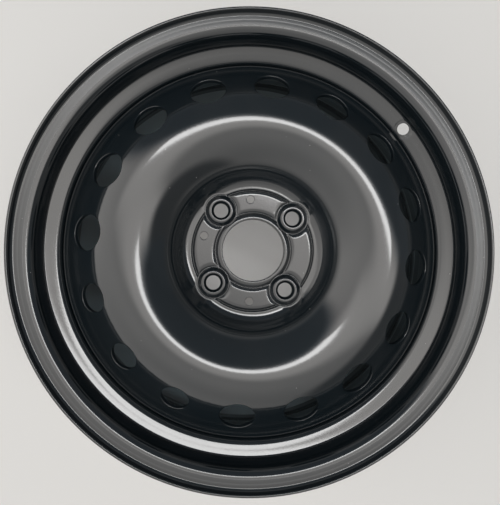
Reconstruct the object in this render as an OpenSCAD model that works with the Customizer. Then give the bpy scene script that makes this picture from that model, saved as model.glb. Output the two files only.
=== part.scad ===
// Pressed steel car wheel: rolled rim, stamped disc, fillet welds.
// Axis on Z, outer face up. The origin is the centre of the hub bore on the mounting face.

/* [Rim] */
// Bead seat diameter, where seat and flange would meet
seat_d = 405.6; // [380:0.1:432]
// Width between the two bead flanges
rim_w = 165.1; // [140:0.1:204]
// Offset of the mounting face from the middle of the rim
offset = 44; // [30:1:52]
// Thickness of the rim strip
rim_t = 2.6; // [2:0.1:3.4]

/* [Flanges] */
// Height of a flange above the bead seat
flange_h = 17.5; // [16:0.1:19]
// Reach of a flange outside its bead face
flange_reach = 11.4; // [10.5:0.1:14]
// Outer radius of the flange curl
curl_r = 9.5; // [7:0.1:9.9]
// Fillet between bead seat and flange
seat_fillet = 6.5; // [4:0.1:7]

/* [Bead seats and well] */
// Width of a bead seat
seat_w = 20; // [16:0.5:24]
// Taper of a bead seat
seat_taper = 5; // [3:0.5:7]
// Height of a safety hump
hump_h = 1.1; // [0.6:0.1:1.6]
// Half the width of a safety hump
hump_half = 4.6; // [4.4:0.1:6]
// Bend radius over a safety hump
hump_radius = 5; // [3:0.5:7]
// Depth of the well below the bead seat diameter
well_depth = 17.2; // [14:0.1:20]
// Width of the well floor
well_w = 52; // [44:1:60]
// Angle of the well's front wall from the axis
wall_angle = 75; // [65:1:80]
// Bend radius at the ends of the well's walls
wall_radius = 5; // [4:0.1:5.8]

/* [Disc] */
// Thickness of the disc sheet
disc_t = 4; // [3:0.1:5]
// Radius of the crown's top
crest_r = 123; // [116:1:128]
// Height of the crown's top above the mounting face
crest_h = 41.5; // [36:0.5:44]
// Width of the flat along the crown's top
crown_flat = 1; // [0.4:0.1:4]
// Bend radius from the crown into the bowl
crown_in_radius = 56; // [36:1:58]
// Bend radius from the crown into the vent slope
crown_out_radius = 42; // [28:1:48]
// Radius at which the bowl meets the hub pad
bowl_foot_r = 67.6; // [66:0.2:70]
// Bend radius at the foot of the bowl
foot_radius = 6; // [4:0.5:8]
// Bend radius from the vent slope into the skirt
shoulder_radius = 10; // [6:0.5:12]
// Shoulder corner in front of the well's front corner
shoulder_lead = 0.2; // [-3:0.1:3]
// Reach of the skirt behind the well's front corner
skirt_reach = 32; // [26:0.5:38]

/* [Hub] */
// Diameter of the hub bore
bore_d = 60.1; // [54:0.1:66]
// Height of the bore collar above the hub pad
collar_h = 5; // [2:0.1:7]
// Width of the flat on top of the collar
collar_top_w = 2.9; // [2:0.1:4]
// Width of the collar where it meets the hub pad
collar_foot_w = 6.2; // [5:0.1:8]
// Inner radius of the raised pads between the bolts, at their foot
land_in_r = 40.4; // [38.5:0.1:43]
// Outer radius of the raised pads between the bolts, at their foot
land_out_r = 57.6; // [54:0.1:58.5]
// Height of the raised pads
land_h = 1.5; // [0.8:0.1:2]
// Inner radius of the bead round the hub pad
bead_in_r = 61; // [60:0.1:62]
// Width of the bead round the hub pad
bead_w = 3.5; // [2.5:0.1:4]
// Height of the bead round the hub pad
bead_h = 1.3; // [0.6:0.1:1.8]
// Width of the sloping side of a raised pad or bead
press_side = 1; // [0.3:0.1:1.1]

/* [Bolt holes] */
// Bolt circle diameter
bolt_circle_d = 100; // [98:0.5:104]
// Number of bolts
bolt_count = 4; // [3:1:5]
// Diameter of a bolt hole
bolt_d = 14; // [12:0.1:15]
// Diameter of the cone seat at its top
seat_top_d = 17.8; // [16:0.1:20]
// Cone seat angle, both sides together
seat_cone = 60; // [50:5:90]
// Height of a bolt boss above the hub pad
boss_h = 4; // [3:0.1:5]
// Diameter of a boss at its top
boss_top_d = 23; // [21:0.1:25]
// Diameter of a boss at its foot
boss_foot_d = 30; // [28:0.1:31]
// Clear width of the trough round a boss
boss_trough = 0.6; // [0.2:0.1:1]

/* [Inspection marks] */
// Diameter of a round mark
mark_d = 8.2; // [6:0.1:10]
// Depth of a round mark
mark_depth = 0.4; // [0.2:0.1:0.8]

/* [Vents] */
// Number of vents
vent_count = 16; // [12:1:18]
// Diameter of a vent
vent_d = 33.7; // [26:0.1:36]
// Number of smaller vents opposite the valve hole
small_vent_count = 3; // [1:2:5]
// Diameter of a smaller vent
small_vent_d = 27.3; // [20:0.1:32]
// Vent centres up the vent slope from the shoulder
vent_up = 34.2; // [32:0.1:38]

/* [Valve hole] */
// Diameter of the valve hole
valve_d = 11.5; // [8.5:0.1:12]
// Valve hole down the well's front wall from its top corner
valve_drop = 8.4; // [7.6:0.1:9.4]

/* [Welds] */
// Number of weld runs
weld_count = 8; // [4:1:12]
// Angle that a weld run spans
weld_span = 26; // [15:1:28]
// Leg length of a weld
weld_leg = 3.6; // [2.5:0.1:4.5]

/* [Fits] */
// Gap left between pressed or welded faces
seam = 0.05; // [0.02:0.01:0.2]

/* [Hidden] */

$fn = 128;
// Largest distance between an arc and the short lines that draw it
arc_error = 0.05;
// Overshoot of a cut past the face it opens
over = 1;

paint = "#1b1d20";
weld_paint = "#26282b";

// Angles of the round marks between the bolts
mark_angles = [54, 124.5, 226.5];

// Rim stations along the axis
front_face = rim_w / 2 - offset;
rear_face = -rim_w / 2 - offset;
flange_r = seat_d / 2 + flange_h;
seat_drop = seat_w * tan(seat_taper);
seat_end_r = seat_d / 2 - seat_drop;
hump_r = seat_end_r + hump_h;
shelf_w = seat_w + 2 * hump_half;
well_r = seat_d / 2 - well_depth;
well_front = front_face - shelf_w - (seat_end_r - well_r) / tan(wall_angle);
well_rear = well_front - well_w;

// Inside of the well, where the disc is pressed in
well_in_r = well_r - rim_t;
well_in_front = well_front + rim_t * tan(wall_angle / 2);

// Disc stations
skirt_r = well_in_r - seam;
shoulder_z = well_in_front + shoulder_lead;
skirt_end = well_in_front - skirt_reach;
bowl_span = [crest_r - crown_flat / 2 - bowl_foot_r, crest_h - disc_t];
vent_span = [skirt_r - crest_r - crown_flat / 2, crest_h - shoulder_z];
crown_in_bend = min(crown_in_radius, widest_bend(bowl_span));
crown_out_bend = min(crown_out_radius, widest_bend(vent_span));
bowl_slope = tangent_slope(bowl_span, crown_in_bend);
vent_slope = tangent_slope(vent_span, crown_out_bend);

bore_r = bore_d / 2;
bolt_r = bolt_circle_d / 2;
boss_clear_r = boss_foot_d / 2 + boss_trough;
vent_r = skirt_r - vent_up * cos(vent_slope);
vent_z = shoulder_z + vent_up * sin(vent_slope);

// Widest bend that a wall of this run and rise can carry below a level top
function widest_bend(span) = 0.97 * (span * span) / (2 * span.y);

// Slope of the wall that rises from its foot to touch the bend below the level top
function tangent_slope(span, radius) =
    let (to_centre = span - [0, radius])
    atan2(to_centre.y, to_centre.x) + asin(radius / norm(to_centre));

function unit(v) = v / norm(v);
function left_of(v) = [-v.y, v.x];
function turned(v, angle) = [v.x * cos(angle) - v.y * sin(angle), v.x * sin(angle) + v.y * cos(angle)];
function point_of(corner) = [corner.x, corner.y];

// Points along the arc that rounds one corner, each with the normal on the left of the path
function bend(before, corner, after) =
    let (
        radius = corner.z,
        along = unit(point_of(corner) - point_of(before)),
        onward = unit(point_of(after) - point_of(corner)),
        angle = atan2(along.x * onward.y - along.y * onward.x, along * onward),
        start = point_of(corner) - radius * tan(abs(angle) / 2) * along,
        centre = start + sign(angle) * radius * left_of(along),
        steps = max(1, ceil(abs(angle) / (2 * acos(1 - arc_error / radius))))
    )
    [for (i = [0 : steps])
        [centre + turned(start - centre, angle * i / steps), left_of(turned(along, angle * i / steps))]];

// A whole path: its two ends and every rounded corner [r, z, bend radius] between them
function path(corners) =
    let (
        last = len(corners) - 1,
        first_way = unit(point_of(corners[1]) - point_of(corners[0])),
        last_way = unit(point_of(corners[last]) - point_of(corners[last - 1]))
    )
    concat(
        [[point_of(corners[0]), left_of(first_way)]],
        [for (i = [1 : last - 1]) each bend(corners[i - 1], corners[i], corners[i + 1])],
        [[point_of(corners[last]), left_of(last_way)]]
    );

// Outline of a bent sheet; a positive thickness lies on the left of the path
function sheet(corners, thickness) =
    let (line = path(corners), last = len(line) - 1)
    concat(
        [for (p = line) p[0]],
        [for (i = [last : -1 : 0]) line[i][0] + thickness * line[i][1]]
    );

// Flange, seat and hump on the tyre side, out from the middle; side is 1 in front and -1 behind
function shelf(face, side) = [
    [flange_r, face + side * flange_reach, 0],
    [flange_r, face, curl_r],
    [seat_d / 2, face, seat_fillet],
    [seat_end_r, face - side * seat_w, hump_radius],
    [hump_r, face - side * (seat_w + hump_half), hump_radius],
    [seat_end_r, face - side * shelf_w, wall_radius]
];
function backward(list) = [for (i = [len(list) - 1 : -1 : 0]) list[i]];

rim_path = concat(
    shelf(front_face, 1),
    [[well_r, well_front, wall_radius], [well_r, well_rear, wall_radius]],
    backward(shelf(rear_face, -1))
);
disc_path = [
    [bore_r, disc_t, 0],
    [bowl_foot_r, disc_t, foot_radius],
    [bowl_foot_r + bowl_span.y / tan(bowl_slope), crest_h, crown_in_bend],
    [skirt_r - vent_span.y / tan(vent_slope), crest_h, crown_out_bend],
    [skirt_r, shoulder_z, shoulder_radius],
    [skirt_r, skirt_end, 0]
];

module round_array(count) {
    for (i = [0 : count - 1])
        rotate(i * 360 / count)
            children();
}

module at_bolts() {
    round_array(bolt_count)
        translate([bolt_r, 0])
            children();
}

// Valve hole, square to the well's front wall
module valve_hole() {
    wall_top = [seat_end_r, 0, front_face - shelf_w];
    down_wall = [-sin(wall_angle), 0, -cos(wall_angle)];
    translate(wall_top + valve_drop * down_wall)
        rotate([0, wall_angle - 90, 0])
            cylinder(d = valve_d, h = 6 * rim_t, center = true);
}

module rim() {
    color(paint)
        difference() {
            rotate_extrude()
                polygon(sheet(rim_path, -rim_t));
            valve_hole();
        }
}

// Ring round the bore, drawn up out of the hub pad
module collar() {
    rotate_extrude()
        polygon([
            [bore_r, disc_t / 2],
            [bore_r, disc_t + collar_h],
            [bore_r + collar_top_w, disc_t + collar_h],
            [bore_r + collar_foot_w, disc_t],
            [bore_r + collar_foot_w, disc_t / 2]
        ]);
}

// Round form pressed up out of the hub pad, with a sloping side
module raised(radius, height) {
    translate([0, 0, disc_t / 2])
        cylinder(r = radius, h = disc_t / 2);
    translate([0, 0, disc_t])
        cylinder(r1 = radius, r2 = radius - press_side, h = height);
}

// Round cut-out in a raised form, with its side sloping the other way
module cut_out(radius, height) {
    cylinder(r = radius, h = disc_t);
    translate([0, 0, disc_t])
        cylinder(r1 = radius, r2 = radius + press_side * (height + over) / height, h = height + over);
}

// Raised pads between the bolts
module lands() {
    difference() {
        raised(land_out_r, land_h);
        cut_out(land_in_r, land_h);
        at_bolts() cut_out(boss_clear_r, land_h);
    }
}

// Bead round the hub pad, bulging out to pass the bosses
module pad_bead() {
    difference() {
        union() {
            raised(bead_in_r + bead_w, bead_h);
            at_bolts() raised(boss_clear_r + bead_w / 2, bead_h);
        }
        cut_out(bead_in_r, bead_h);
        at_bolts() cut_out(boss_clear_r, bead_h);
    }
}

module bolt_boss() {
    translate([0, 0, disc_t / 2])
        cylinder(d = boss_foot_d, h = disc_t / 2);
    translate([0, 0, disc_t])
        cylinder(d1 = boss_foot_d, d2 = boss_top_d, h = boss_h);
}

// Through hole and the cone that the bolt seats in
module bolt_hole() {
    seat_depth = (seat_top_d - bolt_d) / 2 / tan(seat_cone / 2);
    top = disc_t + boss_h;
    translate([0, 0, -over])
        cylinder(d = bolt_d, h = top + 2 * over);
    translate([0, 0, top - seat_depth])
        cylinder(d1 = bolt_d, d2 = seat_top_d, h = seat_depth);
}

// Room for a boss in the collar and the bead
module boss_clearance() {
    translate([0, 0, disc_t])
        cylinder(r = boss_clear_r, h = boss_h + collar_h);
}

module vent(diameter) {
    translate([vent_r, 0, vent_z])
        rotate([0, vent_slope, 0])
            cylinder(d = diameter, h = 8 * disc_t, center = true);
}

// Ring of vents, square to the vent slope, the smaller ones centred opposite the valve hole
module vents() {
    for (i = [0 : vent_count - 1]) {
        small = abs(i - vent_count / 2) <= (small_vent_count - 1) / 2;
        rotate(i * 360 / vent_count)
            vent(small ? small_vent_d : vent_d);
    }
}

module marks() {
    for (angle = mark_angles)
        rotate(angle)
            translate([bolt_r, 0, disc_t + land_h - mark_depth])
                cylinder(d = mark_d, h = mark_depth + over);
}

module disc() {
    color(paint)
        difference() {
            union() {
                difference() {
                    union() {
                        rotate_extrude()
                            polygon(sheet(disc_path, -disc_t));
                        collar();
                        pad_bead();
                    }
                    at_bolts() boss_clearance();
                }
                lands();
                at_bolts() bolt_boss();
            }
            at_bolts() bolt_hole();
            vents();
            marks();
        }
}

// Fillet weld runs in the corner between the skirt's rear edge and the well
module welds() {
    corner = [skirt_r, skirt_end - seam];
    color(weld_paint)
        round_array(weld_count)
            rotate_extrude(angle = weld_span, start = -weld_span / 2)
                polygon([
                    corner,
                    corner - [weld_leg, 0],
                    corner - [weld_leg * 0.4, weld_leg * 0.4],
                    corner - [0, weld_leg]
                ]);
}

rim();
disc();
welds();
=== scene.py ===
# Pressed steel car wheel: rolled rim, stamped disc and weld runs under black paint.
# Shapes are worked out in millimetres in the wheel's own frame and go to the scene in metres.

import math

import bmesh
import bpy
import numpy as np
from mathutils import Matrix, Vector


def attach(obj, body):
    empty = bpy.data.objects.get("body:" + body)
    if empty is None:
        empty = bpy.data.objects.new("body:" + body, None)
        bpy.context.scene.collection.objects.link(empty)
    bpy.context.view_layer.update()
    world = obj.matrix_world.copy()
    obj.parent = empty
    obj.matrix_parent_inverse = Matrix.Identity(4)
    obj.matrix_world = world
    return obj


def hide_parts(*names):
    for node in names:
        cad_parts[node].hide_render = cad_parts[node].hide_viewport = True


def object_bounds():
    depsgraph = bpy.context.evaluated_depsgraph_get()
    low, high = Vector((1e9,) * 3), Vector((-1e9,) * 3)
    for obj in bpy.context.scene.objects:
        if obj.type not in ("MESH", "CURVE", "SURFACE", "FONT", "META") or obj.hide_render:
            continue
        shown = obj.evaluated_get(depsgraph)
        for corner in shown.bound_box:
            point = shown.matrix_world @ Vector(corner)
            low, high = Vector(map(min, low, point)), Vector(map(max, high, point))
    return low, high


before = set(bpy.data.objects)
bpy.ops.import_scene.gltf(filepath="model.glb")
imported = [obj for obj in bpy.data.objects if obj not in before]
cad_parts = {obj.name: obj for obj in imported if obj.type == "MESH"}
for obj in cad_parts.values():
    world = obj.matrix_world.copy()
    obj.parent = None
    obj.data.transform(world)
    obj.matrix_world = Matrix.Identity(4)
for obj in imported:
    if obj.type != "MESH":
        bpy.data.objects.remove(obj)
cad_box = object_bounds()

MM = 0.001

# Rim sizes
SEAT_R = 202.8
RIM_W = 165.1
OFFSET = 44.0
RIM_T = 2.6
FLANGE_R = SEAT_R + 17.5
FLANGE_REACH = 11.4
FLANGE_LEAN = 1.0
CURL_R = 6.2
SEAT_FILLET = 4.9
SEAT_W = 20.0
SEAT_DROP = SEAT_W * math.tan(math.radians(5))
SEAT_END_R = SEAT_R - SEAT_DROP
HUMP_H = 1.1
HUMP_HALF = 4.6
HUMP_RADIUS = 5.0
SHELF_W = SEAT_W + 2 * HUMP_HALF
WELL_R = SEAT_R - 17.2
WELL_W = 52.0
WALL_RADIUS = 5.0
WALL_ANGLE = math.radians(75)
FRONT_FACE = RIM_W / 2 - OFFSET
REAR_FACE = -RIM_W / 2 - OFFSET
WELL_FRONT = FRONT_FACE - SHELF_W - (SEAT_END_R - WELL_R) / math.tan(WALL_ANGLE)
WELL_REAR = WELL_FRONT - WELL_W
LIP_EDGE = 1.0
VALVE_R = 5.75
VALVE_DROP = 8.4
VALVE_EDGE = 0.5
VALVE_SEAT_R = 8.8
VALVE_SEAT_DEPTH = 0.5
VALVE_SEAT_SIDE = 1.2

# Disc sizes
DISC_T = 4.0
SEAM = 0.05
SKIRT_R = WELL_R - RIM_T - SEAM
WELL_CORNER = WELL_FRONT + RIM_T * math.tan(WALL_ANGLE / 2)
SHOULDER_Z = WELL_CORNER + 0.2
SKIRT_END = WELL_CORNER - 32.0
SHOULDER_RADIUS = 10.0
CREST_R = 123.0
CREST_H = 41.5
CROWN_FLAT = 1.0
CROWN_IN_RADIUS = 56.0
CROWN_OUT_RADIUS = 42.0
BOWL_FOOT_R = 67.6
FOOT_RADIUS = 6.0
SHEET_EDGE = 0.8

# Hub sizes
BORE_R = 30.05
BORE_EDGE = 0.8
COLLAR_H = 5.0
COLLAR_SIDE_R = 35.6
COLLAR_ROUND = 4.5
COLLAR_FOOT_R = 36.6
COLLAR_FOOT_BEND = 0.4
COLLAR_CLEAR = 1.8
LAND_IN_R = 37.2
LAND_OUT_R = 59.2
LAND_H = 1.5
LAND_SIDE = 4.6
LAND_POWER = 2.5
GROOVE_R = 59.0
GROOVE_HALF = 1.35
GROOVE_DEPTH = 1.7
GROOVE_CLEAR = 1.2
BEAD_IN_R = 59.4
BEAD_H = 0.5
BEAD_SIDE = 1.6
BEAD_TURN = 1.5
OUTLINE_AT = (3.6, 5.8, 7.0, 8.2, 9.4, 16.0)
OUTLINE_LIFT = (0.0, 0.37, 0.55, 0.67, 0.73, 0.0)
FOOT_BLEND = 3.0
HUB_END_R = BEAD_IN_R + OUTLINE_AT[-1]
BOLT_CIRCLE_R = 50.0
BOLT_COUNT = 4
BOLT_R = 7.0
BOLT_EDGE = 0.4
BOSS_H = 4.0
BOSS_TOP_R = 11.6
BOSS_TOP_BEND = 2.2
BOSS_FOOT_R = 15.0
BOSS_FOOT_BEND = 1.0
BOSS_CLEAR_R = 15.6
BOSS_PATCH_R = 17.6
SEAT_TOP_R = 9.2
SEAT_TOP_BEND = 0.6
SEAT_FOOT_BEND = 0.5
SEAT_DEPTH = (SEAT_TOP_R - BOLT_R) / math.tan(math.radians(30))
MARK_R = 4.1
MARK_DEPTH = 0.4
MARK_EDGE = 0.9
MARK_ANGLES = (54.0, 124.5, 226.5)

# Vent sizes
VENT_COUNT = 16
VENT_R = 16.85
SMALL_VENT_R = 13.65
SMALL_VENT_COUNT = 3
VENT_UP = 34.2
VENT_EDGE = 0.5

# Weld sizes
WELD_COUNT = 8
WELD_SPAN = math.radians(26)
WELD_LEG = 3.5
WELD_PITCH = 2.4
WELD_RIPPLE = 0.05
WELD_HOLLOW = 1.8
WELD_TAPER = 12
WELD_TIP = 0.02

# Fineness of the meshes
ARC_ERROR = 0.01
WIDEST_STEP = math.radians(15)
LONGEST_STEP = 5.0
EDGE_STEPS = 5
HOLE_EDGE_STEPS = 6
HOLE_RINGS = 7
HOLE_RING_POWER = 0.8
HOLE_TRIES = 12
RIM_COLUMNS = 288
DISC_COLUMNS = 192
VALVE_ROOM = 4.0
VALVE_COLUMNS = 3
VALVE_RINGS = 17
VENT_ROOM = 3.0
VENT_ROWS = 13
BOSS_RINGS = 7
PATCH_STEP = 6
LEAST_HUB_STEP = 0.2
LEAST_DISC_STEP = 0.1
WELD_STEPS = 181
WELD_TURNS = 11
TINY = 1e-6
JOIN_REACH = 2e-6
FLAT_EDGE = 1e-7


def unit(v):
    """A vector of length 1."""
    return v / np.linalg.norm(v)


def left_of(v):
    """A flat vector turned left by a right angle."""
    return np.array([-v[1], v[0]])


def turned(v, angles):
    """A flat vector turned by each of several angles."""
    c, s = np.cos(angles), np.sin(angles)
    return np.stack([v[0] * c - v[1] * s, v[0] * s + v[1] * c], -1)


def bend(before, corner, after, radius):
    """Points and left normals along the arc that rounds one corner."""
    along = unit(corner - before)
    onward = unit(after - corner)
    turn = math.atan2(along[0] * onward[1] - along[1] * onward[0], along @ onward)
    start = corner - radius * math.tan(abs(turn) / 2) * along
    side = math.copysign(1, turn)
    centre = start + side * radius * left_of(along)
    step = min(WIDEST_STEP, 2 * math.acos(1 - ARC_ERROR / radius))
    steps = max(3, math.ceil(abs(turn) / step))
    normals = turned(left_of(along), np.linspace(0, turn, steps + 1))
    return centre - side * radius * normals, normals


def path(corners, longest):
    """Points and left normals along corners (r, z, bend radius), with no straight step over the longest."""
    flat = [np.array(c[:2], float) for c in corners]
    points = [flat[0]]
    normals = [left_of(unit(flat[1] - flat[0]))]
    for i in range(1, len(flat)):
        if i < len(flat) - 1:
            arc, arc_normals = bend(flat[i - 1], flat[i], flat[i + 1], corners[i][2])
        else:
            arc, arc_normals = flat[i][None], normals[-1][None]
        run = arc[0] - points[-1]
        steps = math.ceil(np.linalg.norm(run) / longest)
        for _ in range(1, steps):
            points.append(points[-1] + run / steps)
            normals.append(arc_normals[0])
        points.extend(arc)
        normals.extend(arc_normals)
    return np.array(points), np.array(normals)


def around(radius, height, angle):
    """Points of a turned form."""
    return np.stack(np.broadcast_arrays(radius * np.cos(angle), radius * np.sin(angle), height), -1)


def swept(section, angles):
    """Section points (r, z) carried round the axis."""
    return around(section[:, :1], section[:, 1:], angles)


def turn_grid(grid, angle):
    """A grid of points turned about the wheel's axis."""
    c, s = math.cos(angle), math.sin(angle)
    return grid @ np.array([[c, s, 0], [-s, c, 0], [0, 0, 1]])


class Sheet:
    """A bent sheet in section. Its face is a path, and depth is measured to the right of it."""

    def __init__(self, corners, thickness, longest):
        self.points, self.normals = path(corners, longest)
        self.thickness = thickness
        steps = np.hypot(*np.diff(self.points, axis=0).T)
        self.lengths = np.concatenate([[0], np.cumsum(steps)])

    def at(self, length, depth=0.0):
        """Radius and height at a length along the path and a depth under the face."""
        point = [np.interp(length, self.lengths, self.points[:, k]) for k in (0, 1)]
        normal = [np.interp(length, self.lengths, self.normals[:, k]) for k in (0, 1)]
        size = np.hypot(*normal)
        return tuple(p - depth * n / size for p, n in zip(point, normal))

    def length_at(self, radius):
        """Length along the path at which it first reaches a radius, where the path runs outwards."""
        return np.interp(radius, self.points[:, 0], self.lengths)

    def band(self, lengths, depth, angles):
        """Grid of points at a depth, over lengths along the path and angles round the axis."""
        r, z = self.at(lengths, depth)
        return around(r[:, None], z[:, None], angles)


def add_object(name, data):
    """A new object in the scene."""
    added = bpy.data.objects.new(name, data)
    bpy.context.scene.collection.objects.link(added)
    return added


class Shell:
    """A closed mesh put together from grids of points that meet edge to edge."""

    def __init__(self):
        self.points = []
        self.faces = []
        self.count = 0

    def add(self, grid):
        """Adds a grid of points, with a face in each of its cells."""
        rows, columns = grid.shape[:2]
        index = np.arange(rows * columns).reshape(rows, columns) + self.count
        quads = np.stack([index[:-1, :-1], index[:-1, 1:], index[1:, 1:], index[1:, :-1]], -1)
        self.points.append(grid.reshape(-1, 3))
        self.faces.append(quads.reshape(-1, 4))
        self.count += rows * columns

    def piece(self, name):
        """The grids welded into one smooth object that rides on the wheel."""
        mesh = bpy.data.meshes.new(name)
        points = np.concatenate(self.points) * MM
        mesh.from_pydata(points.tolist(), [], np.concatenate(self.faces).tolist())
        work = bmesh.new()
        work.from_mesh(mesh)
        bmesh.ops.remove_doubles(work, verts=work.verts, dist=JOIN_REACH)
        bmesh.ops.dissolve_degenerate(work, edges=work.edges, dist=FLAT_EDGE)
        bmesh.ops.recalc_face_normals(work, faces=work.faces)
        for face in work.faces:
            face.smooth = True
        work.to_mesh(mesh)
        work.free()
        piece = add_object(name, mesh)
        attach(piece, "root")
        return piece


def rise(distance, width):
    """Smooth step from 0 to 1 over a width."""
    t = np.clip(distance / width, 0, 1)
    return t * t * (3 - 2 * t)


def crown_edge(distance, width):
    """Step from 0 to 1 that starts steep and comes level slowly."""
    return 1 - (1 - np.clip(distance / width, 0, 1)) ** LAND_POWER


def soft_least(a, b, width):
    """The lesser of two distances, rounded where they cross."""
    h = np.clip(0.5 + (b - a) / (2 * width), 0, 1)
    return b + (a - b) * h - width * h * (1 - h)


def hole_grid(sheet, middle, radius, edge, lengths, angles, coin=(0.0, 0.0), ring_count=HOLE_RINGS):
    """Both faces of a sheet round one hole, and the hole's wall with rounded edges.

    The patch is bounded by lengths along the section and by angles round the axis. The hole is at angle 0.
    A coin gives the radius and depth of a flat pressed into the back face round the hole.
    """
    bound = [(lengths[0], a) for a in angles]
    bound += [(s, angles[-1]) for s in lengths[1:]]
    bound += [(lengths[-1], a) for a in angles[-2::-1]]
    bound += [(s, angles[0]) for s in lengths[-2::-1]]
    bound_s, bound_a = np.array(bound).T
    r0, z0 = sheet.at(middle)
    ahead = unit(np.subtract(sheet.at(middle + 1), sheet.at(middle - 1)))
    way = np.arctan2(r0 * bound_a, bound_s - middle)

    def circle(size, depth):
        """Lengths and angles of the points at a depth that lie on a cylinder square to the sheet."""
        s = middle + size * np.cos(way)
        for _ in range(HOLE_TRIES):
            r, z = sheet.at(s, depth)
            a = np.arcsin(size * np.sin(way) / r)
            reach = (r * np.cos(a) - r0) * ahead[0] + (z - z0) * ahead[1]
            s = s + size * np.cos(way) - reach
        return s, a

    def face(depth, pressed=0.0):
        """Rings from the patch's bound to the hole's rounded edge."""
        edge_s, edge_a = circle(radius + edge, depth)
        rings = []
        for share in np.linspace(0, 1, ring_count) ** HOLE_RING_POWER:
            s = bound_s + (edge_s - bound_s) * share
            a = bound_a + (edge_a - bound_a) * share
            inside = coin[0] + VALVE_SEAT_SIDE / 2 - np.hypot(s - middle, r0 * a)
            level = depth - pressed * rise(inside, VALVE_SEAT_SIDE)
            rings.append(around(*sheet.at(s, level), a))
        return rings

    def rounding(depth, inward):
        """Rings round one edge of the hole, from its face down the wall."""
        rings = []
        for t in np.linspace(0, math.pi / 2, HOLE_EDGE_STEPS)[1:]:
            level = depth + inward * edge * (1 - math.cos(t))
            s, a = circle(radius + edge * (1 - math.sin(t)), level)
            rings.append(around(*sheet.at(s, level), a))
        return rings

    back = sheet.thickness
    front_rings = face(0) + rounding(0, 1)
    back_rings = face(back, coin[1]) + rounding(back - coin[1], -1)
    return np.array(front_rings + back_rings[::-1])


def sheet_end(sheet, length, edge, outward):
    """Section points round the end of a sheet, from its face to its back, with rounded edges."""
    face = np.array(sheet.at(length))
    back = np.array(sheet.at(length, sheet.thickness))
    across = unit(back - face)
    out = unit(np.array(outward, float))
    turns = np.linspace(0, math.pi / 2, EDGE_STEPS)[:, None]
    drops = edge * (1 - np.cos(turns)) * across
    bulges = edge * np.sin(turns) * out
    return np.concatenate([face + drops + bulges, (back - drops + bulges)[::-1]])


def shelf(face, side):
    """Flange, bead seat and hump on the tyre side, as corners; side is 1 in front and -1 behind."""
    return [
        (FLANGE_R, face + side * (FLANGE_REACH - LIP_EDGE), 0),
        (FLANGE_R, face + side * FLANGE_LEAN, CURL_R),
        (SEAT_R, face, SEAT_FILLET),
        (SEAT_END_R, face - side * SEAT_W, HUMP_RADIUS),
        (SEAT_END_R + HUMP_H, face - side * (SEAT_W + HUMP_HALF), HUMP_RADIUS),
        (SEAT_END_R, face - side * SHELF_W, WALL_RADIUS),
    ]


def make_rim():
    """The rolled strip, with its valve hole at angle 0."""
    well = [(WELL_R, WELL_FRONT, WALL_RADIUS), (WELL_R, WELL_REAR, WALL_RADIUS)]
    corners = shelf(FRONT_FACE, 1) + well + shelf(REAR_FACE, -1)[::-1]
    strip = Sheet(corners, RIM_T, LONGEST_STEP)
    rows = strip.lengths
    columns = np.linspace(0, 2 * math.pi, RIM_COLUMNS + 1)

    # Patch round the valve hole, on whole rows and columns
    top_corner = np.array([SEAT_END_R, FRONT_FACE - SHELF_W])
    down = np.array([-math.sin(WALL_ANGLE), -math.cos(WALL_ANGLE)])
    valve = top_corner + VALVE_DROP * down
    nearest = np.argmin(np.hypot(*(strip.points - valve).T))
    middle = rows[nearest] + (valve - strip.points[nearest]) @ down
    room = VALVE_R + VALVE_ROOM
    first = np.searchsorted(rows, middle - room)
    last = np.searchsorted(rows, middle + room)
    near = np.concatenate([columns[-VALVE_COLUMNS - 1:-1] - 2 * math.pi, columns[:VALVE_COLUMNS + 1]])

    shell = Shell()
    for depth in (0, RIM_T):
        shell.add(strip.band(rows, depth, columns[VALVE_COLUMNS:-VALVE_COLUMNS]))
        for part in (rows[:first + 1], rows[last:]):
            shell.add(strip.band(part, depth, near))
    seat = (VALVE_SEAT_R, VALVE_SEAT_DEPTH)
    patch = rows[first:last + 1]
    shell.add(hole_grid(strip, middle, VALVE_R, VALVE_EDGE, patch, near, seat, VALVE_RINGS))
    for length, outward in ((rows[0], (0, 1)), (rows[-1], (0, -1))):
        shell.add(swept(sheet_end(strip, length, LIP_EDGE, outward), columns))
    return shell.piece("rolled_rim")


def tangent_slope(run, climb, radius):
    """Slope of a wall that rises from its foot to touch the bend under a level top."""
    return math.atan2(climb - radius, run) + math.asin(radius / math.hypot(run, climb - radius))


BOWL_RUN = CREST_R - CROWN_FLAT / 2 - BOWL_FOOT_R
VENT_RUN = SKIRT_R - CREST_R - CROWN_FLAT / 2
BOWL_SLOPE = tangent_slope(BOWL_RUN, CREST_H - DISC_T, CROWN_IN_RADIUS)
VENT_SLOPE = tangent_slope(VENT_RUN, CREST_H - SHOULDER_Z, CROWN_OUT_RADIUS)
COLLAR_PATH, _ = path([
    (BORE_R, DISC_T + COLLAR_H, 0),
    (COLLAR_SIDE_R, DISC_T + COLLAR_H, COLLAR_ROUND),
    (COLLAR_FOOT_R, DISC_T, COLLAR_FOOT_BEND),
    (LAND_IN_R, DISC_T, 0),
], longest=2.0)
BOSS_PATH, _ = path([
    (BOSS_CLEAR_R, DISC_T, 0),
    (BOSS_FOOT_R, DISC_T, BOSS_FOOT_BEND),
    (BOSS_TOP_R, DISC_T + BOSS_H, BOSS_TOP_BEND),
    (SEAT_TOP_R, DISC_T + BOSS_H, SEAT_TOP_BEND),
    (BOLT_R, DISC_T + BOSS_H - SEAT_DEPTH, SEAT_FOOT_BEND),
    (BOLT_R, 0, BOLT_EDGE),
    (BOSS_TOP_R, 0, 0),
], longest=1.2)


def from_spot(x, y, angle):
    """Distance of points from the place at an angle on the bolt circle."""
    return np.hypot(x - BOLT_CIRCLE_R * math.cos(angle), y - BOLT_CIRCLE_R * math.sin(angle))


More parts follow.
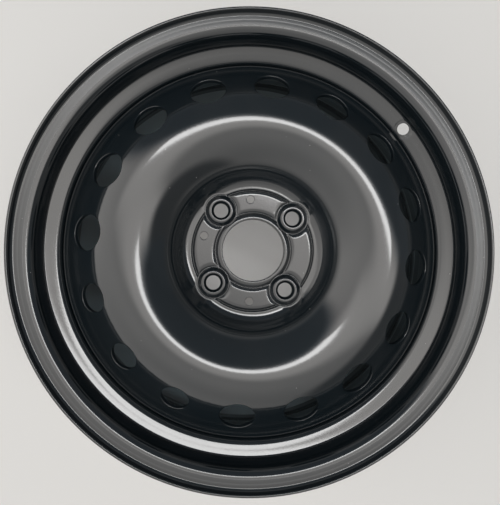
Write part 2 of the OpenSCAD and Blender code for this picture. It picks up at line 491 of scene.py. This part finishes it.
def hub_height(x, y, plain):
    """Height of the front of the hub with its pressed forms, apart from the bolt bosses.

    Plain is the height of the bare sheet at the same points.
    """
    r = np.hypot(x, y)
    bolts = [2 * math.pi * i / BOLT_COUNT for i in range(BOLT_COUNT)]
    clear = np.min([from_spot(x, y, a) for a in bolts], axis=0) - BOSS_CLEAR_R
    collar = np.interp(r, COLLAR_PATH[:, 0], COLLAR_PATH[:, 1] - DISC_T)
    land = LAND_H * crown_edge(r - LAND_IN_R, LAND_SIDE) * crown_edge(LAND_OUT_R - r, LAND_SIDE)
    groove = GROOVE_DEPTH * np.clip(1 - np.abs(r - GROOVE_R) / GROOVE_HALF, 0, 1)
    marks = sum(rise(MARK_R - from_spot(x, y, a), MARK_EDGE) for a in np.radians(MARK_ANGLES))
    raised = collar * rise(clear, COLLAR_CLEAR) + land * crown_edge(clear, LAND_SIDE)
    sunk = groove * rise(clear, GROOVE_CLEAR) + MARK_DEPTH * marks

    # The pad's outline, which passes outside the bosses, and the foot of the bowl beyond it
    across = soft_least(r - BEAD_IN_R, 2 * clear, BEAD_TURN)
    foot = (plain - DISC_T) * rise(across - OUTLINE_AT[0], FOOT_BLEND)
    outline = np.interp(across, OUTLINE_AT, OUTLINE_LIFT)
    fade = rise(across - OUTLINE_AT[-2], OUTLINE_AT[-1] - OUTLINE_AT[-2])
    bead = BEAD_H * rise(across, BEAD_SIDE) * (1 - fade)
    return DISC_T + foot + outline + bead + raised - sunk


def hub_rows(start, end):
    """Radii of the rows across the hub: close on the pressed edges and where they pass a boss patch."""
    turns = np.radians(np.arange(0, 181, PATCH_STEP))
    squares = BOLT_CIRCLE_R ** 2 + BOSS_PATCH_R ** 2
    rows = list(np.sqrt(squares + 2 * BOLT_CIRCLE_R * BOSS_PATCH_R * np.cos(turns)))
    runs = (
        (LAND_IN_R, LAND_IN_R + LAND_SIDE, 8),
        (LAND_OUT_R - LAND_SIDE, GROOVE_R - GROOVE_HALF, 4),
        (GROOVE_R - GROOVE_HALF, GROOVE_R + GROOVE_HALF, 10),
        (GROOVE_R + GROOVE_HALF, BEAD_IN_R + OUTLINE_AT[1], 9),
        (BOLT_CIRCLE_R - MARK_R, BOLT_CIRCLE_R + MARK_R, 13),
        (BEAD_IN_R + OUTLINE_AT[1], BEAD_IN_R + OUTLINE_AT[-2], 6),
        (BEAD_IN_R + OUTLINE_AT[-2], end, 5),
    )
    for r in np.concatenate([COLLAR_PATH[:, 0], [start, end]] + [np.linspace(*run) for run in runs]):
        if start <= r <= end and np.min(np.abs(np.array(rows) - r)) > LEAST_HUB_STEP:
            rows.append(r)
    ends = [r for r in (start, end) if r not in rows]
    return np.array(sorted(r for r in rows + ends if start <= r <= end))


def add_hub(shell, sheet):
    """The hub pad: one sector to a bolt, each with a round patch about its bolt hole."""

    def front(r, a):
        plain = np.interp(r, sheet.points[:, 0], sheet.points[:, 1])
        return around(r, hub_height(r * np.cos(a), r * np.sin(a), plain), a)

    def back(r, a):
        return around(*sheet.at(sheet.length_at(r), DISC_T), a)

    # Rows inside, beside and outside the patch; beside it they run from its edge to the next sector
    rows = hub_rows(BORE_R + BORE_EDGE, HUB_END_R)
    low, high = BOLT_CIRCLE_R - BOSS_PATCH_R, BOLT_CIRCLE_R + BOSS_PATCH_R
    beside = rows[(rows > low - TINY) & (rows < high + TINY)]
    cosines = (beside ** 2 - BOLT_CIRCLE_R ** 2 - BOSS_PATCH_R ** 2) / (2 * BOLT_CIRCLE_R * BOSS_PATCH_R)
    spokes = np.arccos(np.clip(cosines, -1, 1))
    patch_edge = np.arctan2(BOSS_PATCH_R * np.sin(spokes), BOLT_CIRCLE_R + BOSS_PATCH_R * np.cos(spokes))
    sector = math.pi / BOLT_COUNT
    per_side = DISC_COLUMNS // BOLT_COUNT // 2
    shares = np.linspace(0, 1, per_side + 1)
    side_angles = patch_edge[:, None] + (sector - patch_edge[:, None]) * shares
    side_rows = np.broadcast_to(beside[:, None], side_angles.shape)
    across = np.linspace(-sector, sector, 2 * per_side + 1)

    # Rings of the patch: pressed forms, boss, hole, then the flat back
    ways = np.concatenate([spokes, -spokes[-2::-1]])

    def about_bolt(ring):
        return BOLT_CIRCLE_R + ring * np.cos(ways), ring * np.sin(ways)

    def on_face(face, ring):
        x, y = about_bolt(ring)
        return face(np.hypot(x, y), np.arctan2(y, x))

    rings = [on_face(front, ring) for ring in np.linspace(BOSS_PATCH_R, BOSS_CLEAR_R, BOSS_RINGS)[:-1]]
    for ring, height in BOSS_PATH:
        x, y = about_bolt(ring)
        rings.append(np.stack([x, y, np.full_like(x, height)], -1))
    rings.append(on_face(back, BOSS_PATCH_R))
    patch = np.array(rings)

    for i in range(BOLT_COUNT):
        turn = 2 * math.pi * i / BOLT_COUNT
        shell.add(turn_grid(patch, turn))
        for face in (front, back):
            for part in (rows[rows < low + TINY], rows[rows > high - TINY]):
                r, a = np.meshgrid(part, across, indexing="ij")
                shell.add(turn_grid(face(r, a), turn))
            for side in (1, -1):
                shell.add(turn_grid(face(side_rows, side * side_angles), turn))


def add_bore(shell, columns):
    """Wall of the hub bore, with rounded edges."""
    turns = np.linspace(0, math.pi / 2, EDGE_STEPS)
    radii = BORE_R + BORE_EDGE * (1 - np.sin(turns))
    drops = BORE_EDGE * (1 - np.cos(turns))
    top = np.column_stack([radii, DISC_T + COLLAR_H - drops])
    bottom = np.column_stack([radii, drops])
    shell.add(swept(np.concatenate([top, bottom[::-1]]), columns))


def make_disc():
    """The stamped disc: hub pad, bowl, crown, vent slope and skirt."""
    crown_in = BOWL_FOOT_R + (CREST_H - DISC_T) / math.tan(BOWL_SLOPE)
    crown_out = SKIRT_R - (CREST_H - SHOULDER_Z) / math.tan(VENT_SLOPE)
    sheet = Sheet([
        (BORE_R, DISC_T, 0),
        (BOWL_FOOT_R, DISC_T, FOOT_RADIUS),
        (crown_in, CREST_H, CROWN_IN_RADIUS),
        (crown_out, CREST_H, CROWN_OUT_RADIUS),
        (SKIRT_R, SHOULDER_Z, SHOULDER_RADIUS),
        (SKIRT_R, SKIRT_END + SHEET_EDGE, 0),
    ], DISC_T, LONGEST_STEP)
    rows = sheet.lengths
    columns = np.linspace(0, 2 * math.pi, DISC_COLUMNS + 1)
    hub_end = sheet.length_at(HUB_END_R)
    vent = sheet.length_at(SKIRT_R - VENT_UP * math.cos(VENT_SLOPE))
    vent_room = VENT_R + VENT_EDGE + VENT_ROOM
    vent_rows = np.linspace(vent - vent_room, vent + vent_room, VENT_ROWS)

    # Bowl and crown, then shoulder and skirt, on both faces
    shell = Shell()
    inner = rows[(rows > hub_end + LEAST_DISC_STEP) & (rows < vent_rows[0] - LEAST_DISC_STEP)]
    outer = rows[rows > vent_rows[-1] + LEAST_DISC_STEP]
    bowl = np.concatenate([[hub_end], inner, vent_rows[:1]])
    skirt = np.concatenate([vent_rows[-1:], outer])
    for part in (bowl, skirt):
        for depth in (0, DISC_T):
            shell.add(sheet.band(part, depth, columns))
    shell.add(swept(sheet_end(sheet, rows[-1], SHEET_EDGE, (0, -1)), columns))

    # Vents, one to a sector, the smaller ones opposite the valve hole
    per_vent = DISC_COLUMNS // VENT_COUNT // 2
    angles = np.linspace(-math.pi / VENT_COUNT, math.pi / VENT_COUNT, 2 * per_vent + 1)
    sizes = (VENT_R, SMALL_VENT_R)
    wide, small = [hole_grid(sheet, vent, r, VENT_EDGE, vent_rows, angles) for r in sizes]
    for i in range(VENT_COUNT):
        opposite = abs(i - VENT_COUNT / 2) <= (SMALL_VENT_COUNT - 1) / 2
        shell.add(turn_grid(small if opposite else wide, 2 * math.pi * i / VENT_COUNT))

    add_hub(shell, sheet)
    add_bore(shell, columns)
    return shell.piece("stamped_disc")


def make_welds():
    """Rippled fillet welds in the corner behind the skirt."""
    corner_z = SKIRT_END - SEAM
    spans = np.linspace(-0.5, 0.5, WELD_STEPS) * WELD_SPAN
    along = spans * SKIRT_R
    taper = np.sqrt(np.clip(1 - (2 * spans / WELD_SPAN) ** WELD_TAPER, WELD_TIP, 1))
    corner = (np.full_like(spans, SKIRT_R), np.full_like(spans, corner_z))
    section = [corner]
    for t in np.linspace(0, math.pi / 2, WELD_TURNS):
        wave = np.sin(2 * math.pi * (along / WELD_PITCH - 0.5 * math.sin(2 * t)))
        leg = WELD_LEG * taper * (1 + WELD_RIPPLE * math.sin(2 * t) * wave)
        inward = leg * math.cos(t) ** WELD_HOLLOW
        down = leg * math.sin(t) ** WELD_HOLLOW
        section.append((SKIRT_R - inward, corner_z - down))
    section.append(corner)
    grid = np.array([around(r, z, spans) for r, z in section])

    shell = Shell()
    for i in range(WELD_COUNT):
        turn = 2 * math.pi * i / WELD_COUNT
        shell.add(turn_grid(grid, turn))
        for end in (grid[:, 0], grid[:, -1]):
            middle = np.broadcast_to(end.mean(axis=0), end.shape)
            shell.add(turn_grid(np.array([end, middle]), turn))
    return shell.piece("weld_runs")


rim = make_rim()
disc = make_disc()
welds = make_welds()
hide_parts("rim")
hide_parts("disc")
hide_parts("welds")


class Shade:
    """A socket in a node tree. Arithmetic on it adds Math nodes."""

    def __init__(self, tree, socket=None):
        self.tree = tree
        self.socket = socket

    def node(self, kind, settings=None, inputs=None, output=0):
        """Adds a node: its settings first, then the values or links of its sockets."""
        node = self.tree.nodes.new(kind)
        for name, value in (settings or {}).items():
            setattr(node, name, value)
        for name, value in (inputs or {}).items():
            if isinstance(value, Shade):
                self.tree.links.new(value.socket, node.inputs[name])
            else:
                node.inputs[name].default_value = value
        return Shade(self.tree, node.outputs[output]) if node.outputs else None

    def math(self, operation, *values):
        """A Math node on several values."""
        return self.node("ShaderNodeMath", {"operation": operation}, dict(enumerate(values)))

    def __add__(self, other):
        return self.math("ADD", self, other)

    def __sub__(self, other):
        return self.math("SUBTRACT", self, other)

    def __rsub__(self, other):
        return self.math("SUBTRACT", other, self)

    def __mul__(self, other):
        return self.math("MULTIPLY", self, other)

    __radd__ = __add__
    __rmul__ = __mul__

    def part(self, axis):
        """One part of a vector."""
        return self.node("ShaderNodeSeparateXYZ", {}, {0: self}, axis)

    def ramp(self, low, high):
        """0 at low and 1 at high, smooth between."""
        inputs = {"Value": self, "From Min": low, "From Max": high}
        return self.node("ShaderNodeMapRange", {"interpolation_type": "SMOOTHSTEP"}, inputs)

    def beyond(self, radius, fade):
        """For a distance squared: 0 inside a radius in millimetres, rising to 1 over a fade outside it."""
        return self.ramp((radius * MM) ** 2, ((radius + fade) * MM) ** 2)

    def mix(self, plain, other):
        """A colour between two, by this value."""
        inputs = {"Factor": self, 6: plain, 7: other}
        return self.node("ShaderNodeMix", {"data_type": "RGBA"}, inputs, 2)


def grey(level, tint=(1.0, 1.0, 1.0)):
    """A grey colour with a slight tint."""
    return (level * tint[0], level * tint[1], level * tint[2], 1.0)


# Paint: colours, scales of the patterns, heights in metres, and what each adds to the roughness
CLEAN_BLACK = grey(0.0115, (0.65, 1.0, 1.26))
HAZY_BLACK = grey(0.0145, (0.76, 1.0, 1.18))
PEEL_SCALE = 420.0
PEEL_HEIGHT = 0.0004
CLOUD_SCALE = 14.0
CLOUD_DULL = 0.04
STREAK_SCALE = 90.0
STREAK_DULL = 0.03
DUST_GREY = grey(0.35, (1.0, 0.98, 0.95))
DUST_SCALE = 160.0
DUST_COVER = 0.6
DUST_DULL = 0.3

# Stamped marks on the hub, and how far round their radius the edge spreads
STAMP_GREY = grey(0.07, (1.0, 0.97, 0.94))
STAMP_COVER = 0.8
STAMP_STRENGTH = 0.5
STAMP_HEIGHT = 0.0006
STAMP_FROM = 0.86
STAMP_FADE = 0.22

# Rolling marks on the flat of the flanges, as noise over the radius squared
RING_SCALE = 680.0
RING_HEIGHT = 0.0002
RING_DULL = 0.2
RING_IN_R = SEAT_R + 3.5
RING_OUT_R = FLANGE_R - 6.5
RING_FADE = 1.5


def black_paint(name, peel, gloss, rolled=False, marks=()):
    """Black paint on pressed steel: faint orange peel, uneven gloss, and dust where it faces up.

    Rolled steel has faint rings on its flanges. Marks are the angles of the round stamps between bolts.
    """
    material = bpy.data.materials.new(name)
    material.use_nodes = True
    tree = material.node_tree
    tree.nodes.clear()
    start = Shade(tree)
    place = start.node("ShaderNodeTexCoord", output="Object")
    x, y = [place.part(axis) for axis in "XY"]
    up = start.node("ShaderNodeNewGeometry", output="Normal").part("Z")

    def noise(scale, detail):
        inputs = {"Vector": place, "Scale": scale, "Detail": detail}
        return start.node("ShaderNodeTexNoise", {}, inputs, "Fac")

    skin = noise(PEEL_SCALE, 1.0)
    cloud = noise(CLOUD_SCALE, 3.0)
    streak = noise(STREAK_SCALE, 4.0)
    cells = {"Vector": place, "Scale": DUST_SCALE, "Randomness": 1.0}
    speck, tone = [start.node("ShaderNodeTexVoronoi", {}, cells, output) for output in ("Distance", "Color")]
    chance = start.node("ShaderNodeSeparateColor", {}, {0: tone})
    dust = (1 - speck.ramp(0.03, 0.09)) * chance.ramp(0.93, 0.95) * up.ramp(0.2, 0.6)
    haze = cloud.ramp(0.4, 0.7) * up.ramp(0.0, 0.9)

    colour = (dust * DUST_COVER).mix(haze.mix(CLEAN_BLACK, HAZY_BLACK), DUST_GREY)
    rough = gloss + cloud * CLOUD_DULL + streak * STREAK_DULL + dust * DUST_DULL
    bump = start.node("ShaderNodeBump", {}, {"Strength": peel, "Distance": PEEL_HEIGHT, "Height": skin})
    if rolled:
        apart = x * x + y * y
        rings = {"W": apart, "Scale": RING_SCALE, "Detail": 2.0}
        ring = start.node("ShaderNodeTexNoise", {"noise_dimensions": "1D"}, rings, "Fac")
        flat = apart.beyond(RING_IN_R, RING_FADE) * (1 - apart.beyond(RING_OUT_R, RING_FADE))
        wave = {"Strength": 1.0, "Distance": RING_HEIGHT, "Height": ring * flat, "Normal": bump}
        bump = start.node("ShaderNodeBump", {}, wave)
        rough = rough + flat * RING_DULL
    if marks:
        outside = 1.0
        for angle in np.radians(marks):
            dx = x - BOLT_CIRCLE_R * MM * math.cos(angle)
            dy = y - BOLT_CIRCLE_R * MM * math.sin(angle)
            outside = (dx * dx + dy * dy).beyond(STAMP_FROM * MARK_R, STAMP_FADE * MARK_R) * outside
        stamped = up.ramp(0.3, 0.8) * (1 - outside)
        colour = (stamped * STAMP_COVER).mix(colour, STAMP_GREY)
        dent = {"Strength": STAMP_STRENGTH, "Distance": STAMP_HEIGHT, "Height": 1 - stamped, "Normal": bump}
        bump = start.node("ShaderNodeBump", {}, dent)
    shader = start.node("ShaderNodeBsdfPrincipled", {}, {
        "Base Color": colour,
        "Roughness": rough,
        "Normal": bump,
        "Specular IOR Level": 1.0,
    })
    start.node("ShaderNodeOutputMaterial", {}, {"Surface": shader})
    return material


def dress(piece, material):
    """Gives a piece its one material."""
    piece.data.materials.clear()
    piece.data.materials.append(material)


dress(rim, black_paint("rim_black_paint", peel=0.02, gloss=0.07, rolled=True))
dress(disc, black_paint("disc_black_paint", peel=0.02, gloss=0.07, marks=MARK_ANGLES))
dress(welds, black_paint("weld_black_paint", peel=0.12, gloss=0.34))

# Camera, from the photograph's view of the wheel, which turns the valve hole to the upper right
IMAGE_W = 500
IMAGE_H = 505
FOCAL_PX = 515.785
AXIS_PX = (248.63, 243.71)
CAMERA_AT = (-30.824, 21.009, 509.79)
CAMERA_TILT = (-0.0188, 0.0649)
WHEEL_TURN = math.radians(38.86)


def make_camera():
    """The camera over the wheel, with its axis off the middle of the picture."""
    data = bpy.data.cameras.new("camera")
    data.sensor_fit = "HORIZONTAL"
    data.sensor_width = 36.0
    data.lens = FOCAL_PX / IMAGE_W * data.sensor_width
    data.shift_x = (IMAGE_W / 2 - AXIS_PX[0]) / IMAGE_W
    data.shift_y = (AXIS_PX[1] - IMAGE_H / 2) / IMAGE_W
    data.clip_start = 0.01
    data.clip_end = 50.0
    camera = add_object("camera", data)
    a, b = CAMERA_TILT
    right = Vector((math.cos(b), math.sin(b) * math.sin(a), math.sin(b) * math.cos(a)))
    upward = Vector((0.0, math.cos(a), -math.sin(a)))
    back = right.cross(upward)
    turn = Matrix.Rotation(-WHEEL_TURN, 3, "Z")
    axes = turn @ Matrix((right, upward, back)).transposed()
    camera.matrix_world = Matrix.Translation(Vector(CAMERA_AT) * MM) @ axes.to_4x4()
    bpy.context.scene.camera = camera


# Floor: half its width in metres, its colours, and where its painted light and painted shade fall, in
# millimetres from the wheel's axis
FLOOR_HALF = 12.0
FLOOR_ROUGH = 0.5
OPEN_GREY = grey(0.5, (1.0, 1.0, 0.98))
# Painted shade: the floor's cooler, darker colour under the wheel's ring
SHADE_GREY = grey(0.46, (0.7, 1.0, 1.13))
GLOW = grey(0.2, (1.0, 0.98, 0.96))
SHADE_GLOW = 0.05
BORE_GLOW_R = 60.0
BORE_GLOW_FADE = 70.0
OPEN_GLOW_R = 212.0
OPEN_GLOW_FADE = 23.0


def make_floor():
    """Pale floor under the rear flange, with painted shade under the wheel's ring (a cooler, darker colour
    and less glow) and a painted pool of light under the bore.
    """
    mesh = bpy.data.meshes.new("floor")
    half = FLOOR_HALF
    level = cad_box[0].z
    corners = [(-half, -half, level), (half, -half, level), (half, half, level), (-half, half, level)]
    mesh.from_pydata(corners, [], [(0, 1, 2, 3)])
    floor = add_object("floor", mesh)
    material = bpy.data.materials.new("pale_floor")
    material.use_nodes = True
    tree = material.node_tree
    start = Shade(tree)
    x, y = [start.node("ShaderNodeTexCoord", output="Object").part(axis) for axis in "XY"]
    apart = x * x + y * y
    # Painted light and shade: 1 in a pool of light under the bore and beyond the flange, 0 in the painted
    # shade under the ring
    lit = 1 - apart.beyond(BORE_GLOW_R, BORE_GLOW_FADE) + apart.beyond(OPEN_GLOW_R, OPEN_GLOW_FADE)
    rays = ("Is Camera Ray", "Is Glossy Ray", "Is Transmission Ray")
    camera, glossy, through = [start.node("ShaderNodeLightPath", output=ray) for ray in rays]
    seen = (camera + glossy + through) * (SHADE_GLOW + (1 - SHADE_GLOW) * lit)
    shader = tree.nodes["Principled BSDF"]
    tree.links.new(lit.mix(SHADE_GREY, OPEN_GREY).socket, shader.inputs["Base Color"])
    tree.links.new(seen.mix(grey(0.0), GLOW).socket, shader.inputs["Emission Color"])
    shader.inputs["Emission Strength"].default_value = 1.0
    shader.inputs["Roughness"].default_value = FLOOR_ROUGH
    dress(floor, material)


# Studio: one bright strip along a line of the picture, and pale walls and ceiling that end beyond it
CEILING = 10.0
LIGHT_LINE = math.radians(-24)
STRIP_REACH = 2.1
STRIP_SLIDE = 0.5
STRIP_W = 1.05
STRIP_LENGTH = 7.7
STRIP_RADIANCE = 7.0
PANEL_LEVEL = 2.2
WALL_LEVEL = 1.1
WALL_FALL = 0.5
LOW_WALL = math.radians(245)
LOW_WALL_FALL = 0.3
FAR_LEVEL = 0.15
END_LEVEL = 0.18
HORIZON_LEVEL = 0.5
HORIZON_SIDE = math.radians(10)
HORIZON_FALL = 0.3
WARM = grey(1.0, (1.035, 1.0, 0.965))
COOL = grey(1.0, (0.92, 1.0, 1.08))


def make_strip():
    """A long bright ceiling light, along the picture's light line and a reach beyond the wheel's axis."""
    data = bpy.data.lights.new("strip", "AREA")
    data.shape = "RECTANGLE"
    data.size = STRIP_LENGTH
    data.size_y = STRIP_W
    data.energy = STRIP_RADIANCE * math.pi * STRIP_LENGTH * STRIP_W
    light = add_object("strip", data)
    turn = Matrix.Rotation(LIGHT_LINE - WHEEL_TURN, 4, "Z")
    light.matrix_world = turn @ Matrix.Translation((STRIP_SLIDE, STRIP_REACH, CEILING))
    light.visible_camera = False


def make_world():
    """Pale overhead and on two sides, dim beyond the strip and at its right end, even along the horizon."""
    world = bpy.data.worlds.new("studio")
    world.use_nodes = True
    tree = world.node_tree
    tree.nodes.clear()
    start = Shade(tree)
    x, y, climb = [start.node("ShaderNodeTexCoord", output="Generated").part(axis) for axis in "XYZ"]

    def toward(angle):
        """How far a direction points to an angle of the picture."""
        return x * math.cos(angle - WHEEL_TURN) + y * math.sin(angle - WHEEL_TURN)

    across = toward(LIGHT_LINE + math.pi / 2)
    along = toward(LIGHT_LINE)
    panel = across.ramp(-0.13, 0.04) * (1 - toward(LIGHT_LINE + math.pi).ramp(0.37, 0.63))
    walls = (WALL_LEVEL - WALL_FALL * toward(0.0)) * (1 - LOW_WALL_FALL * toward(LOW_WALL).ramp(0.2, 0.8))
    level = walls + panel * (PANEL_LEVEL - walls)
    level = level + across.ramp(0.14, 0.35) * (FAR_LEVEL - level)
    level = level + along.ramp(0.58, 0.76) * (END_LEVEL - level)
    above = climb.ramp(0.03, 0.30)
    horizon = HORIZON_LEVEL - HORIZON_FALL * toward(HORIZON_SIDE).ramp(0.6, 0.95)
    level = level * above + horizon * (1 - above)
    tint = (across.ramp(0.2, 0.35) * above).mix(WARM, COOL)
    light = start.node("ShaderNodeBackground", {}, {"Color": tint, "Strength": level})
    start.node("ShaderNodeOutputWorld", {}, {"Surface": light})
    bpy.context.scene.world = world


make_camera()
make_floor()
make_strip()
make_world()
bpy.context.scene.view_settings.view_transform = "Standard"
